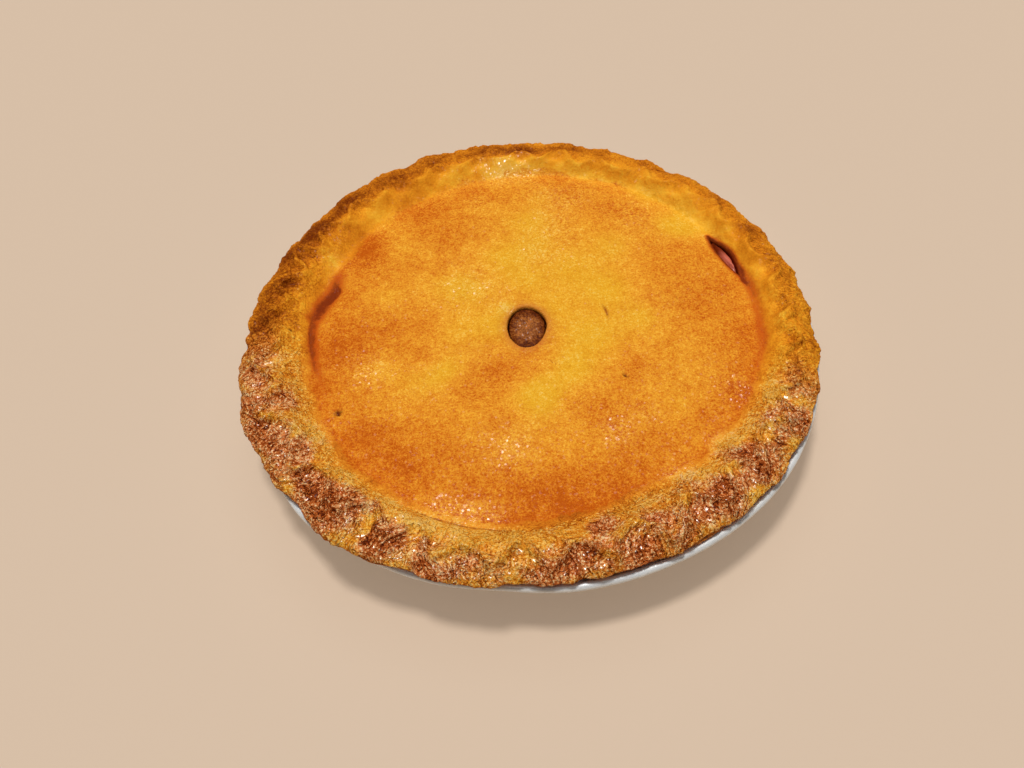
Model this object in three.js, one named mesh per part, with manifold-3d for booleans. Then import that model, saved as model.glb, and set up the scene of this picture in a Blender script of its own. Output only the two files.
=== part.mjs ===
// A double-crust apple pie in its rolled-edge foil tin: a domed lid with one oval vent, a side slit
// that lets the filling show, and a thick rim crimped into an uneven zigzag ridge.
// Millimetres, +Z up. The origin is the centre of the tin's flat underside.
import * as THREE from 'three';
import { mergeVertices } from 'three/addons/utils/BufferGeometryUtils.js';
import Module from 'manifold-3d';

const CLEARANCE = 0.3; // between two pieces that touch
const ROUND_STEPS = 60; // steps round the tin and the lower crust
const FILLING_STEPS = 48;
const CRUST_STEPS = 144; // steps round the crimped top crust

// The foil tin: flat floor, sloping wall, flat flange and a rolled bead.
const FOIL = 0.6;
const FLOOR_RADIUS = 91;
const WALL_TOP_RADIUS = 110;
const FLANGE_TOP = 26.2;
const BEAD_CENTRE_RADIUS = 118.7;
const BEAD_RADIUS = 1.7;
const BEAD_STEPS = 6;
// Where the bead is knocked out of round: [angle, width, size] in degrees, degrees and mm. The
// other lists of swells below are written in the same way.
const TIN_DENTS = [[226, 9, 1.9], [263, 9, -1.7], [322, 26, 2.1]];

// The lower crust, which lines the tin and lies on its flange.
const BASE_THICKNESS = 3.5;
const BASE_EDGE_RADIUS = 116.6;
const BASE_EDGE_SWELLS = [[239, 7, 5.6], [302, 13, 3.2], [331, 12, 3.8], [150, 30, 1.5]];

// The lid, which is highest round the vent and sinks to a groove inside the rim.
const LID_THICKNESS = 4.5;
// Half the oval vent's size from left to right and from front to back, and how uneven its edge is.
const VENT_ACROSS = 8.2;
const VENT_ALONG = 11;
const VENT_UNEVENNESS = 0.02;
const GROOVE_HEIGHT = 31;
const GROOVE_RADIUS = 95.9;
const GROOVE_WAVES = [[1, 3.85, 24.6], [2, 1.5, 180]]; // [waves round the pie, size, phase]
const GROOVE_SWELLS = [[287, 22, -7.8], [322, 18, -4.6]];
const LID_SHOULDER = 3;
const LID_DOME = 1.2;
// Soft humps over the pieces of fruit below: [waves per mm along X, along Y, phase, size].
const LID_HUMPS = [
  [0.13, 0.05, 40, 0.34], [-0.06, 0.15, 110, 0.3], [0.09, -0.11, 250, 0.28], [0.2, 0.16, 10, 0.14],
];

// The crimped rim.
const SHELF_RADIUS = 106;
const SHELF_HEIGHT = 35.8;
const EDGE_HEIGHT = 32.2;
const EDGE_RADIUS = 119.1;
const EDGE_SWELLS = [
  [204, 11, 2.9], [232, 13, 3.4], [258, 7, 1.3], [186, 8, 0.9], [112, 26, 1.1], [170, 6, 1.2],
  [195, 5, 1.2], [343, 8, 1.2],
];
const EDGE_RISES = [[106, 42, 2.7]];
const EDGE_FLUTE = 0.8;
const RIM_UNDERSIDE = FLANGE_TOP + BASE_THICKNESS + 2 * CLEARANCE;
const CRIMPS = 32;
const CRIMP_START = 7.08;
// Hand crimping is uneven: the count of crimps runs ahead and behind in slow waves.
const CRIMP_DRIFT = [[1, 0.32, 152], [2, 0.128, -37], [3, 0.075, 166], [4, 0.138, 15]];
const CRIMP_REACH = 2.6;
const CRIMP_REACH_SWELLS = [[214, 34, 2.3], [306, 34, 2.6], [160, 22, 1.2]];
const CREST_RADIUS = 108.2;
const CREST_SWELLS = [[225, 40, 1.6], [300, 45, 2.2]];
const RIDGE_HEIGHT = 2.7;
const RIDGE_SWELLS = [[88, 58, -1.2]];
const RIDGE_INNER_WIDTH = 4.2;
const RIDGE_OUTER_WIDTH = 1.9;

// The torn slit beside the groove on the right, and the sunken crack in the groove on the left.
const SLIT = { from: [83.2, 51.5], to: [93.6, 26.5], bow: [2, 3.4] };
const CRACK = { angle: 163, radius: 89.5, length: 6.5, width: 4, depth: 1.6 };

const FILLING_DOME = 33.2;
const FILLING_EDGE_RADIUS = 101;

const wasm = await Module();
wasm.setup();

function swell(angle, swells) {
  let sum = 0;
  for (const [centre, width, size] of swells) {
    const away = THREE.MathUtils.euclideanModulo(angle - centre + 180, 360) - 180;
    sum += size * Math.exp(-((away / width) ** 2));
  }
  return sum;
}

function ripple(angle, waves) {
  let sum = 0;
  for (const [count, size, phase] of waves) {
    sum += size * Math.cos(THREE.MathUtils.degToRad(count * angle - phase));
  }
  return sum;
}

function onCircle(radius, angle) {
  const turn = THREE.MathUtils.degToRad(angle);
  return [radius * Math.cos(turn), radius * Math.sin(turn)];
}

// How far round its crimp an angle is: 1 at a crimp's outer point, -1 midway between two.
function crimpWave(angle) {
  const count = (CRIMPS * angle) / 360 - CRIMP_START + ripple(angle, CRIMP_DRIFT);
  const part = count - Math.floor(count);
  return 1 - 4 * Math.min(part, 1 - part);
}

const grooveRadius = (angle) => {
  const waves = ripple(angle, GROOVE_WAVES);
  return GROOVE_RADIUS + waves + swell(angle, GROOVE_SWELLS);
};
const edgeRadius = (angle) => EDGE_RADIUS + swell(angle, EDGE_SWELLS) + EDGE_FLUTE * crimpWave(angle);
const edgeHeight = (angle) => EDGE_HEIGHT + swell(angle, EDGE_RISES);

function ventRadius(angle) {
  const [x, y] = onCircle(1, angle);
  const oval = (VENT_ACROSS * VENT_ALONG) / Math.hypot(VENT_ALONG * x, VENT_ACROSS * y);
  return oval * (1 + VENT_UNEVENNESS * Math.cos(THREE.MathUtils.degToRad(3 * angle - 69)));
}

function crestRadius(angle) {
  const reach = CRIMP_REACH + swell(angle, CRIMP_REACH_SWELLS);
  return CREST_RADIUS + swell(angle, CREST_SWELLS) + reach * crimpWave(angle);
}

function crackDepth(radius, angle) {
  const along = swell(angle, [[CRACK.angle, CRACK.length, CRACK.depth]]);
  return along * Math.exp(-(((radius - CRACK.radius) / CRACK.width) ** 2));
}

function lidHeight(radius, angle) {
  const [x, y] = onCircle(radius, angle);
  const out = radius / grooveRadius(angle);
  let humps = 0;
  for (const [alongX, alongY, phase, size] of LID_HUMPS) {
    humps += size * Math.sin(alongX * x + alongY * y + THREE.MathUtils.degToRad(phase));
  }
  const dome = LID_SHOULDER * (1 - out ** 4) + LID_DOME * (1 - out ** 2);
  return GROOVE_HEIGHT + dome + humps * (1 - out ** 6) - crackDepth(radius, angle);
}

function rimHeight(radius, angle) {
  const groove = grooveRadius(angle);
  const rise = THREE.MathUtils.smoothstep(radius, groove, SHELF_RADIUS);
  const over = Math.max(0, (radius - SHELF_RADIUS) / (edgeRadius(angle) - SHELF_RADIUS));
  const shelf = GROOVE_HEIGHT + (SHELF_HEIGHT - GROOVE_HEIGHT) * rise;
  const fromCrest = radius - crestRadius(angle);
  const width = fromCrest < 0 ? RIDGE_INNER_WIDTH : RIDGE_OUTER_WIDTH;
  const crest = RIDGE_HEIGHT + swell(angle, RIDGE_SWELLS);
  const ridge = crest * rise * Math.exp(-((fromCrest / width) ** 2));
  const drop = (SHELF_HEIGHT - edgeHeight(angle)) * over ** 2.6;
  return shelf + ridge - drop - crackDepth(radius, angle);
}

const lidUnderside = (radius, angle) => lidHeight(radius, angle) - LID_THICKNESS;

// A turned body whose profile may change with the angle. Every profile has the same number of
// points, and it starts and ends on the axis or closes on itself.
function unevenLathe(profileAt, steps) {
  const rows = profileAt(0).length;
  const geometry = new THREE.LatheGeometry(profileAt(0), steps);
  const { position } = geometry.attributes;
  for (let step = 0; step <= steps; step++) {
    const angle = (360 * (step % steps)) / steps;
    profileAt(angle).forEach((point, row) => {
      position.setXYZ(step * rows + row, ...onCircle(point.x, angle), point.y);
    });
  }
  return geometry;
}

// One shared vertex at each place, and no triangle that has shrunk to a line on the axis.
function weld(geometry) {
  geometry.deleteAttribute('normal');
  geometry.deleteAttribute('uv');
  const welded = mergeVertices(geometry, 1e-4);
  const corners = Array.from(welded.index.array);
  const kept = [];
  for (let i = 0; i < corners.length; i += 3) {
    const [a, b, c] = corners.slice(i, i + 3);
    if (a !== b && b !== c && c !== a) kept.push(a, b, c);
  }
  welded.setIndex(kept);
  return welded;
}

function toSolid(geometry) {
  const welded = weld(geometry);
  return new wasm.Manifold(new wasm.Mesh({
    numProp: 3,
    vertProperties: Float32Array.from(welded.attributes.position.array),
    triVerts: Uint32Array.from(welded.index.array),
  }));
}

function toGeometry(solid) {
  const cut = solid.getMesh();
  const geometry = new THREE.BufferGeometry();
  geometry.setAttribute('position', new THREE.Float32BufferAttribute(cut.vertProperties, 3));
  geometry.setIndex(Array.from(cut.triVerts));
  geometry.computeVertexNormals();
  return geometry;
}

function piece(name, geometry, color, roughness, metalness = 0) {
  const mesh = new THREE.Mesh(geometry, new THREE.MeshStandardMaterial({ color, roughness, metalness }));
  mesh.name = name;
  return mesh;
}

const profile = (points) => points.map(([radius, height]) => new THREE.Vector2(radius, height));

// The tin's bead and the outer part of its flange follow its dents.
function dented(radius, angle) {
  return radius + swell(angle, TIN_DENTS) * THREE.MathUtils.smoothstep(radius, 111, 117);
}

function foilTin() {
  const flangeUnder = FLANGE_TOP - FOIL;
  const beadHeight = FLANGE_TOP - 0.2;
  const bead = [];
  for (let step = 0; step <= BEAD_STEPS; step++) {
    const turn = THREE.MathUtils.degToRad(-165 + (330 * step) / BEAD_STEPS);
    bead.push([
      BEAD_CENTRE_RADIUS + BEAD_RADIUS * Math.cos(turn),
      beadHeight + BEAD_RADIUS * Math.sin(turn),
    ]);
  }
  const section = [
    [0, 0], [FLOOR_RADIUS - 1.5, 0], [FLOOR_RADIUS + 0.4, 1],
    [WALL_TOP_RADIUS - 0.2, flangeUnder - 1], [WALL_TOP_RADIUS + 1, flangeUnder],
    ...bead,
    [WALL_TOP_RADIUS + 0.6, FLANGE_TOP], [WALL_TOP_RADIUS - 1, flangeUnder - 0.6],
    [FLOOR_RADIUS - 0.4, 1.5], [FLOOR_RADIUS - 1.8, FOIL], [0, FOIL],
  ];
  const at = (angle) => profile(section.map(([radius, height]) => [dented(radius, angle), height]));
  return piece('foil_tin', weld(unevenLathe(at, ROUND_STEPS)), 0xc9c5bf, 0.32, 1);
}

// The sloping face that the tin's wall shows to its contents, moved inwards by inset.
const wallRadius = (height, inset) => {
  const slope = (WALL_TOP_RADIUS - FLOOR_RADIUS) / (FLANGE_TOP - 2 * FOIL);
  return FLOOR_RADIUS - 1.6 + slope * height - inset;
};

function baseCrust() {
  const low = FOIL + CLEARANCE;
  const floorTop = low + BASE_THICKNESS;
  const flangeLow = FLANGE_TOP + CLEARANCE;
  const flangeHigh = flangeLow + BASE_THICKNESS;
  const overBead = FLANGE_TOP - 0.2 + BEAD_RADIUS + 2 * CLEARANCE;
  const at = (angle) => {
    const edge = BASE_EDGE_RADIUS + swell(angle, BASE_EDGE_SWELLS);
    const insideBead = dented(BEAD_CENTRE_RADIUS - BEAD_RADIUS - CLEARANCE, angle);
    const lifted = THREE.MathUtils.smoothstep(edge, insideBead, insideBead + 0.8);
    const edgeLow = THREE.MathUtils.lerp(flangeLow, overBead, lifted);
    return profile([
      [0, low], [wallRadius(low, 3), low], [wallRadius(low + 1.6, 1), low + 1.6],
      [wallRadius(flangeLow - 3, 1), flangeLow - 3], [WALL_TOP_RADIUS + 1, flangeLow],
      [insideBead - 1.6, flangeLow], [Math.min(insideBead, edge - 0.6), edgeLow],
      [edge - 0.3, edgeLow + 0.2], [edge, (edgeLow + flangeHigh) / 2], [edge - 0.8, flangeHigh],
      [WALL_TOP_RADIUS - 1, flangeHigh], [wallRadius(flangeHigh - 2.4, 5.6), flangeHigh - 2.4],
      [wallRadius(floorTop + 1.5, 5), floorTop + 1.5], [wallRadius(floorTop, 7), floorTop],
      [0, floorTop],
    ]);
  };
  return piece('base_crust', weld(unevenLathe(at, ROUND_STEPS)), 0xc88a3c, 0.75);
}

// The filling is solid under the lid and stands up inside the vent.
function filling() {
  const low = FOIL + BASE_THICKNESS + 2 * CLEARANCE;
  const at = (angle) => {
    const plug = ventRadius(angle) - 2 * CLEARANCE;
    return profile([
      [0, low], [wallRadius(low, 8), low], [wallRadius(low + 2, 5.8), low + 2],
      [FILLING_EDGE_RADIUS, 23.5], [FILLING_EDGE_RADIUS, 25.6], [FILLING_EDGE_RADIUS - 4, 26.4],
      [50, lidUnderside(50, angle) - CLEARANCE],
      [plug, lidUnderside(ventRadius(angle), angle) - 2 * CLEARANCE],
      [plug - 0.8, FILLING_DOME - 1.6], [plug * 0.55, FILLING_DOME - 0.3], [0, FILLING_DOME],
    ]);
  };
  return piece('filling', weld(unevenLathe(at, FILLING_STEPS)), 0x8c4d24, 0.3);
}

function crustProfile(angle) {
  const groove = grooveRadius(angle);
  const crest = crestRadius(angle);
  const edge = edgeRadius(angle);
  const flank = [1, 0.8, 0.45].map((part) => THREE.MathUtils.lerp(groove, crest, part));
  const apron = [1, 0.85, 0.55, 0.2].map((part) => THREE.MathUtils.lerp(crest, edge, part));
  const lid = [groove, 0.9 * groove, 66, 38, 15];
  const vent = ventRadius(angle);
  const lip = lidHeight(vent, angle);
  const ventBottom = [vent + 0.4, lip - LID_THICKNESS];
  return profile([
    ventBottom,
    [50, lidUnderside(50, angle)],
    [FILLING_EDGE_RADIUS - 3, GROOVE_HEIGHT - 4],
    [SHELF_RADIUS + 0.5, RIM_UNDERSIDE],
    [edge - 1, RIM_UNDERSIDE],
    ...apron.concat(flank).map((radius) => [radius, rimHeight(radius, angle)]),
    ...lid.map((radius) => [radius, lidHeight(radius, angle)]),
    [vent + 1.6, lip + 0.2],
    [vent, lip - 1.4],
    ventBottom,
  ]);
}

// A blade with two bowed sides and pointed ends, standing right through the lid.
function slitBlade() {
  const from = new THREE.Vector2(...SLIT.from);
  const to = new THREE.Vector2(...SLIT.to);
  const middle = from.clone().lerp(to, 0.5);
  const side = new THREE.Vector2(to.y - from.y, from.x - to.x).normalize();
  const [inward, outward] = SLIT.bow.map((bow) => 2 * bow);
  const shape = new THREE.Shape();
  shape.moveTo(from.x, from.y);
  shape.quadraticCurveTo(middle.x + side.x * inward, middle.y + side.y * inward, to.x, to.y);
  shape.quadraticCurveTo(middle.x - side.x * outward, middle.y - side.y * outward, from.x, from.y);
  const blade = new THREE.ExtrudeGeometry(shape, { depth: 20, bevelEnabled: false, curveSegments: 7 });
  return blade.translate(0, 0, GROOVE_HEIGHT - 10);
}

function topCrust() {
  const whole = toSolid(unevenLathe(crustProfile, CRUST_STEPS));
  return piece('top_crust', toGeometry(whole.subtract(toSolid(slitBlade()))), 0xe39a35, 0.6);
}

const pie = new THREE.Group();
pie.add(foilTin(), baseCrust(), filling(), topCrust());

export default pie;
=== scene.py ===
"""A double-crust apple pie in its foil tin, laid out as an add-on and run as a script."""

import math

import bpy
import numpy as np
from bpy.props import FloatProperty, FloatVectorProperty, IntProperty, PointerProperty
from mathutils import Matrix, Vector, noise


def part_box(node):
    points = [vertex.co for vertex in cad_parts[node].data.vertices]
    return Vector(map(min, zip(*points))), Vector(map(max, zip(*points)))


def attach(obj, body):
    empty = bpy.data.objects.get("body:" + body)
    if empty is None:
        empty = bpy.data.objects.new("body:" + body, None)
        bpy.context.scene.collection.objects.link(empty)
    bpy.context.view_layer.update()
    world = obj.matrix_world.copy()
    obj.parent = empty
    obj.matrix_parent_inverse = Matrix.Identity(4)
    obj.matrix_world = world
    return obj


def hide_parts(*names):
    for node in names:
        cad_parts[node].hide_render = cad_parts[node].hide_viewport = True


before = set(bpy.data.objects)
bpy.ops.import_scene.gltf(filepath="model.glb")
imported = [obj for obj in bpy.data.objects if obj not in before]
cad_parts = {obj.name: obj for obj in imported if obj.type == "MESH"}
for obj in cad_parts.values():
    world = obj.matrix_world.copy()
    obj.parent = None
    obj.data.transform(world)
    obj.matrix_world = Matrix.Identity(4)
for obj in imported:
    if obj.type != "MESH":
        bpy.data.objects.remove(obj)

bl_info = {
    "name": "Apple Pie",
    "version": (1, 0, 0),
    "blender": (4, 5, 0),
    "location": "View3D > Sidebar > Pie",
    "description": "Makes a crimped double-crust apple pie in its rolled-edge foil tin",
    "category": "Object",
}

BODY = "root"
MM = 0.001
# Points in the rings of the finest surfaces, and in the rings one step coarser.
FINEST, FINE = 1152, 576
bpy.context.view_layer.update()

# Lists of local changes round the pie: [angle, width, size] in degrees, degrees and mm.
TIN_DENTS = [(226, 9, 1.9), (263, 9, -1.7), (322, 26, 2.1)]
BASE_EDGE_SWELLS = [(239, 7, 5.6), (302, 13, 3.2), (331, 12, 3.8), (150, 30, 1.5)]
EDGE_SWELLS = [(204, 11, 2.9), (232, 13, 3.4), (258, 7, 1.3), (186, 8, 0.9), (112, 26, 1.1),
               (170, 6, 1.2), (195, 5, 1.2), (343, 8, 1.2)]
EDGE_RISES = [(106, 42, 2.7)]
# Thin flakes that hang out over the crust's edge, and gaps between them (below 0).
EDGE_FLAKES = [(317, 14, 1.8), (217, 3, 1.2), (231, 3, 0.8), (236, 4, 0.9), (245, 3, 1.0), (254, 5, 1.2),
               (130, 8, 1.6), (108, 10, 0.8), (77, 10, 1.2), (62, 5, 0.7), (45, 3, 1.6), (265, 5, -1.0),
               (175, 3, -1.2), (326, 3, 0.8), (335, 3, 1.4)]
REACH_SWELLS = [(214, 34, 2.3), (306, 34, 2.6), (160, 22, 1.2)]
CREST_SWELLS = [(225, 40, 1.6), (300, 45, 2.2)]
RIDGE_SWELLS = [(88, 58, -1.2)]
GROOVE_SWELLS = [(287, 22, -7.8), (322, 18, -4.6)]
# Waves round the pie: [count, size, phase in degrees].
GROOVE_WAVES = [(1, 3.85, 24.6), (2, 1.5, 180)]
CRIMP_DRIFT = [(1, 0.32, 152), (2, 0.128, -37), (3, 0.075, 166), (4, 0.138, 15)]
# How many crimps past 0 degrees an outer point stands.
CRIMP_START = 7.08
# Soft humps over the fruit: [radians per mm along X, along Y, phase in degrees, size in mm].
LID_HUMPS = [
    (0.13, 0.05, 40, 0.34), (-0.06, 0.15, 110, 0.3), (0.09, -0.11, 250, 0.28), (0.2, 0.16, 10, 0.14),
]
# The slit through the lid: its two ends in metres, and how far its sides bow inwards and outwards in mm.
SLIT_FROM, SLIT_TO = np.array([(83.2, 51.5), (93.6, 26.5)]) * MM
SLIT_BOW = (2, 3.4)
# The sunken crack in the groove: angle, radius, size round the pie, size outwards and depth, in
# degrees and mm.
CRACK = (163, 89.5, 6.5, 4, 1.6)

# Soft dips and rises that the apple slices leave in the lid: [x, y, size, height], in mm.
LID_SWELLS = [
    (-66, -14, 13, 0.5), (34, -52, 12, 0.5), (-8, -62, 16, 0.45), (-28, 30, 18, 0.4),
    (2, -26, 12, 0.35), (24, 70, 20, 0.4), (66, 8, 22, 0.4), (-70, 58, 16, -0.4), (12, -82, 18, -0.35),
    (-16, -22, 10, -0.4), (34, -8, 9, -0.4), (-44, 72, 14, -0.3), (84, -34, 12, 0.4),
    (-30, -84, 9, 0.6),
]
# Places on the lid that baked more (above 0) or less: [x, y, size, amount], in mm.
# Some of the paler places, such as at (-66, -17), (-8, 10) and (-4, 98), are painted highlight where the
# glaze shines.
LID_PATCHES = [
    (-72, 56, 13, 0.65), (-58, 42, 12, 0.35), (-52, 4, 13, 0.35), (-69, 4, 10, 0.4),
    (-64, -50, 13, 0.5), (-52, -66, 12, 0.45), (-32, -64, 13, 0.35), (12, -84, 16, 0.65),
    (-10, -80, 12, 0.4), (34, -80, 12, 0.3), (-13, -22, 8, 0.4), (-25, -31, 8, 0.35),
    (-12, -50, 7, 0.3), (35, -43, 13, 0.3), (52, -60, 12, 0.3), (68, -50, 8, 0.4), (82, -38, 8, 0.45),
    (87, -8, 10, 0.5), (66, 0, 18, 0.35), (48, 10, 12, 0.15), (60, 36, 13, 0.25), (50, 70, 10, 0.25),
    (20, 88, 10, 0.35), (-22, 87, 10, 0.35), (-46, 76, 12, 0.3), (-30, 58, 13, 0.25),
    (-84, -8, 10, 0.2), (-78, 22, 8, 0.25), (17, -23, 9, -0.45), (4, -37, 9, -0.5), (26, -6, 11, -0.35),
    (12, 10, 10, -0.2), (-26, 26, 12, -0.35), (-8, 40, 12, -0.3), (20, 32, 13, -0.25),
    (4, 66, 10, -0.25), (72, 60, 12, -0.55), (58, 58, 9, -0.3), (-66, -17, 9, -0.4),
    (-44, -22, 9, -0.25), (-60, 24, 8, -0.15), (-62, 72, 8, -0.3), (-71, -10, 9, 0.45),
    (-84, -26, 8, 0.35), (-38, -47, 9, 0.25), (-4, -19, 8, 0.25), (46, -23, 7, 0.4), (21, -46, 8, 0.3),
    (33, -52, 7, 0.25), (72, 16, 9, 0.25), (56, 57, 7, 0.25), (-35, 56, 9, 0.25), (-52, 84, 8, 0.35),
    (-56, 50, 8, -0.4), (12, 84, 9, -0.4), (-20, 80, 9, -0.3), (-4, 98, 10, -0.15), (30, 99, 9, -0.2),
    (56, 78, 9, -0.3), (78, 58, 9, -0.15), (36, 18, 11, -0.35), (50, 4, 8, -0.25), (-14, 2, 9, -0.25),
    (1, 26, 8, -0.2), (80, -5, 10, -0.25), (61, -46, 8, -0.3), (-30, 0, 9, -0.15), (6, 50, 8, -0.2),
    (40, 45, 9, -0.2), (-84, -4, 8, 0.45), (-70, -24, 9, 0.25), (-11, -26, 8, 0.2), (36, -66, 8, 0.2),
    (-24, -76, 8, 0.2), (46, 2, 11, -0.2), (-56, 62, 8, -0.25), (90, -26, 7, 0.3), (98, 46, 8, 0.2),
    (64, -8, 14, -0.2), (60, -58, 9, -0.2), (-64, -12, 9, 0.2), (-34, -22, 8, -0.3),
    (-43, -17, 8, 0.35), (-18, 32, 8, 0.2), (12, -22, 7, 0.15), (-30, 38, 9, 0.15), (30, 98, 12, -0.1),
    (60, 84, 12, -0.2), (-90, 60, 7, -0.15), (88, 19, 6, 0.4), (-8, 10, 4, -0.4), (-30, 101, 10, -0.15),
    (-80, 8, 8, 0.25),
]
# Places where the glaze pooled: glossier, and lightened in colour as painted glints. [x, y, size,
# amount], in mm.
PAINTED_GLINTS_AND_GLOSS = [
    (-66, -17, 8, 0.8), (33, -55, 6, 0.9), (45, -48, 5, 0.6), (-9, -62, 9, 0.6), (-24, 26, 13, 0.45),
    (-9, 102, 8, 1.0), (3, 100, 7, 0.9), (-36, -85, 5, 1.0), (-26, -88, 6, 1.0), (-17, -90, 5, 1.0),
    (22, 80, 12, 0.5), (50, 68, 9, 0.5), (82, -36, 7, 0.7), (8, 52, 12, 0.4), (-84, 47, 6, 0.7),
    (-85, -51, 4.5, 1.2), (-85, -45, 4, 0.8), (-70, -72, 4.5, 1.0), (-54, -84, 4.5, 1.1),
    (-64, -85, 4, 0.7), (-51, -93, 4, 0.8), (41, -88, 4, 1.2), (22, -95, 4, 0.7), (53, -76, 4, 1.0),
    (60, -76, 4, 1.0), (70, -75, 4, 0.7), (74, -61, 5, 1.1), (89, -54, 4, 0.7), (-41, -96, 5, 1.0),
    (-50, -91, 4, 0.9), (-29, -100, 4, 0.7), (98, -42, 5, 0.6), (-93, -52, 5, 0.7), (-9, 11, 4, 0.8),
    (12, 84, 7, 0.5), (14, 62, 8, 0.4), (6, 42, 8, 0.4), (-18, 82, 7, 0.4),
]
# How brown the rim is baked: [angle, radius, size round the pie, size outwards, amount], in degrees
# and mm. An amount of 0.5 turns plain golden pastry copper brown, and below 0 makes it paler.
# Some of the paler places on the near slope, such as at 246 degrees, are painted highlight where the
# glaze glints.
RIM_PATCHES = [
    (181, 114, 9, 7, 0.5), (190, 114, 12, 8, 0.42), (187, 105, 6, 4, -0.1), (195, 110, 6, 3, -0.15),
    (185, 116, 4, 4, -0.4), (199, 104, 7, 4, 0.4), (198, 112, 5, 4, 0.2), (204, 118, 7, 5, 0.75),
    (209, 112, 9, 6, 0.55), (207, 104, 5, 3, -0.05), (212, 105, 5, 4, 0.2), (216, 106, 8, 5, 0.3),
    (215, 113, 4, 3, 0.2), (218, 118, 4, 3, -0.25), (222, 112, 9, 6, 0.65), (221, 104, 9, 4, 0.15),
    (228, 115, 9, 5, 0.8), (231, 110, 5, 3, 0.4), (233, 105, 8, 4, 0.45), (228, 106, 6, 4, 0.2),
    (234, 119, 5, 3, -0.2), (236, 112, 3, 3, -0.25), (240, 118, 6, 4, 0.9), (242, 112, 5, 4, 0.7),
    (246, 114, 3, 3, -0.15), (249, 117, 6, 3, 0.6), (249, 111, 5, 2.5, 0.35), (257, 113, 4, 4, 0.35),
    (254, 119, 6, 3, 0.4), (264, 114, 8, 5, 0.05), (269, 117, 5, 3, 0.45), (274, 115, 6, 4, 0.75),
    (278, 110, 5, 5, 0.6), (278, 117, 4, 3, 0.3), (283, 110, 4, 3, 0.0), (284, 101, 5, 5, 0.45),
    (289, 115, 8, 5, 0.65), (287, 118, 4, 2, 0.3), (293, 106, 6, 4, 0.4), (298, 117, 5, 3, 0.2),
    (303, 112, 9, 5, 0.7), (303, 102, 9, 5, 0.3), (308, 116, 6, 4, 0.7), (309, 109, 5, 4, 0.75),
    (313, 119, 6, 2, -0.1), (314, 113, 5, 4, 0.6), (316, 102, 4, 5, 0.5), (319, 107, 5, 3, 0.7),
    (318, 116, 5, 4, 0.95), (320, 111, 4, 3, 0.4), (325, 115, 6, 4, 0.55), (326, 110, 4, 2, -0.2),
    (328, 105, 6, 3, 0.35), (332, 118, 7, 3, 0.6), (333, 112, 5, 4, 0.3), (338, 113, 4, 6, 0.2),
    (339, 118, 5, 3, 0.3), (344, 110, 6, 3, 0.6), (345, 117, 5, 3, 0.3), (351, 111, 6, 4, 0.25),
    (352, 118, 6, 3, 0.35), (0, 113, 7, 5, 0.2), (8, 112, 8, 5, 0.3), (17, 113, 8, 5, 0.25),
    (27, 113, 8, 5, 0.3), (40, 114, 10, 5, 0.35), (55, 115, 12, 5, 0.35), (75, 115, 16, 5, 0.4),
    (95, 115, 16, 5, 0.5), (110, 115, 12, 6, 0.5), (122, 113, 12, 7, 0.5), (134, 115, 12, 6, 0.65),
    (146, 114, 12, 6, 0.8), (156, 112, 10, 8, 0.7), (166, 112, 10, 8, 0.65), (174, 113, 8, 7, 0.6),
    (162, 104, 6, 4, 0.3), (172, 105, 6, 4, 0.3), (222, 119, 5, 3, 0.35), (88, 112, 14, 4, 0.4),
    (246, 104, 7, 5, -0.5), (258, 103, 9, 5, -0.25), (268, 104, 8, 5, -0.2), (219, 105, 8, 4, -0.35),
    (336, 108, 7, 5, -0.25), (148, 107, 7, 4, 0.25), (156, 110, 5, 4, -0.2), (172, 99, 8, 3, 0.3),
    (160, 97, 6, 3, 0.3), (285, 101, 12, 4, 0.2), (195, 102, 12, 4, 0.08), (196, 116, 6, 5, 0.3),
    (213, 119, 8, 4, 0.25), (227, 120, 6, 4, 0.25), (338, 109, 6, 6, 0.15), (329, 109, 6, 5, 0.15),
    (335, 117, 6, 3, -0.3), (327, 119, 6, 3, -0.3), (315, 121, 6, 3, -0.25), (297, 121, 5, 3, -0.3),
    (156, 118, 8, 4, 0.2), (338, 102, 6, 4, -0.15), (72, 101, 26, 6, -0.12), (5, 116, 22, 5, -0.15),
    (218, 108, 12, 5, -0.08), (224, 99, 16, 6, -0.14), (252, 99, 14, 6, -0.12),
]
# Folds and cracks pressed into the top: points [x, y, strength] in mm, then width and depth in mm.
# The first seven are also darkened in colour, as painted shade in the folds.
CREASES = [
    ([(-54.5, -80.8, 0.4), (-41.2, -88.4, 1), (-25.2, -94.2, 1), (-13.6, -96.5, 1), (-3, -97.4, 0.2)],
     0.8, 0.9),
    ([(39.2, -19.5, 0.8), (40.2, -24, 0.5), (38.8, -28, 1)], 0.5, 0.8),
    ([(7.6, -17.3, 0.5), (9.8, -20.6, 1), (13, -21.7, 0.7)], 0.5, 0.5),
    ([(31, 15, 0.2), (34, 6, 1), (35, -2, 0.2)], 1.6, 0.4),
    ([(62.6, 19, 0.3), (64, 12, 0.8), (63.4, 6, 0.3)], 0.6, 0.3),
    ([(-83, 34, 0.5), (-81.8, 29.5, 1), (-85, 24.5, 0.7)], 1.2, 0.9),
    ([(-92, 16, 0.7), (-92.5, 8, 1), (-91.2, -4, 1), (-88.5, -15, 0.7), (-84, -27, 0.3)], 1.8, 0.8),
    ([(-60, 81, 0.3), (-71, 67, 0.8), (-80, 53, 1), (-87, 38, 0.8), (-91, 26, 0.4)], 2.2, 0.8),
]
# Holes pricked through the glaze, darkened inside as painted shade: [x, y, size, depth] in mm.
PITS = [(-77.4, -38.1, 1.3, 1.6), (-100.4, 5.3, 0.8, 0.8), (38.8, -28.4, 0.8, 0.8)]
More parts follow.
